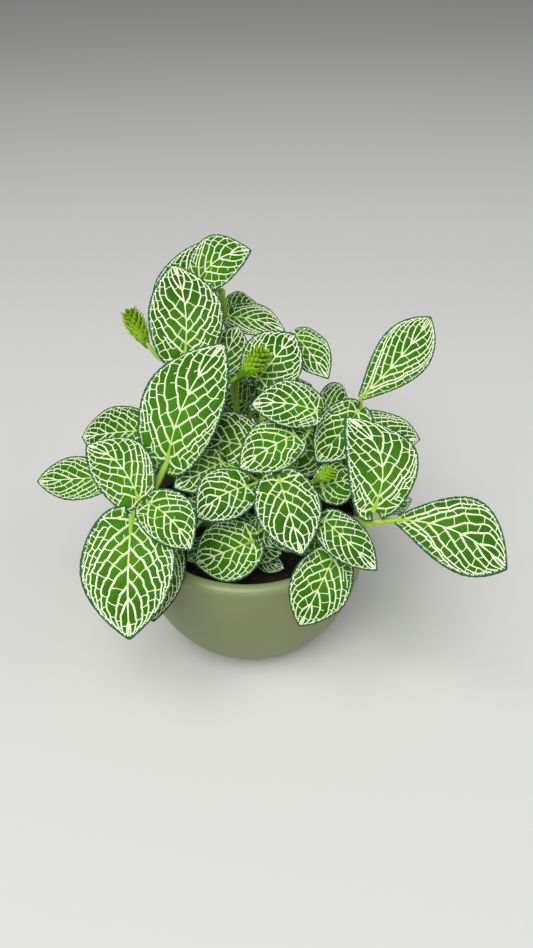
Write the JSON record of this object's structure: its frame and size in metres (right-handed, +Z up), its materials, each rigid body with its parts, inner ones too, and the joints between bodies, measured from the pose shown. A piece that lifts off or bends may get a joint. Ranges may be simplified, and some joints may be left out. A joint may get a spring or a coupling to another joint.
{
  "type": "potted nerve plant",
  "caption": "Potted white-veined nerve plant: leafy stems with oval veined leaves and flower spikes growing from soil in a round matt ceramic bowl pot.",
  "frame": {"origin": "centre of the pot's flat base, on the surface that the pot stands on", "axes": "+Z up, -Y the front, which the leaves lean towards, +X to the right seen from the front"},
  "size_m": [0.1904, 0.1595, 0.1717],
  "materials": {
    "pot_glaze": "matt sage-green glaze with a soft sheen",
    "potting_soil": "dark crumbly potting mix",
    "foliage": "satin green leaf with a net of cream-white veins, on yellow-green stems",
    "bracts": "finely hairy lime-green bracts"
  },
  "bodies": {
    "root": {"pot": "pot_glaze", "soil": "potting_soil", "stem_left": "foliage", "stem_far_left": "foliage", "stem_top": "foliage", "stem_back_left": "foliage", "stem_back": "foliage", "stem_right": "foliage", "stem_right_low": "foliage", "stem_front": "foliage", "stem_middle": "foliage", "stem_front_left": "foliage", "stem_back_low": "foliage", "stem_back_right": "foliage", "spike_left": "bracts", "spike_back": "bracts", "spike_middle": "bracts"}
  },
  "joints": []
}
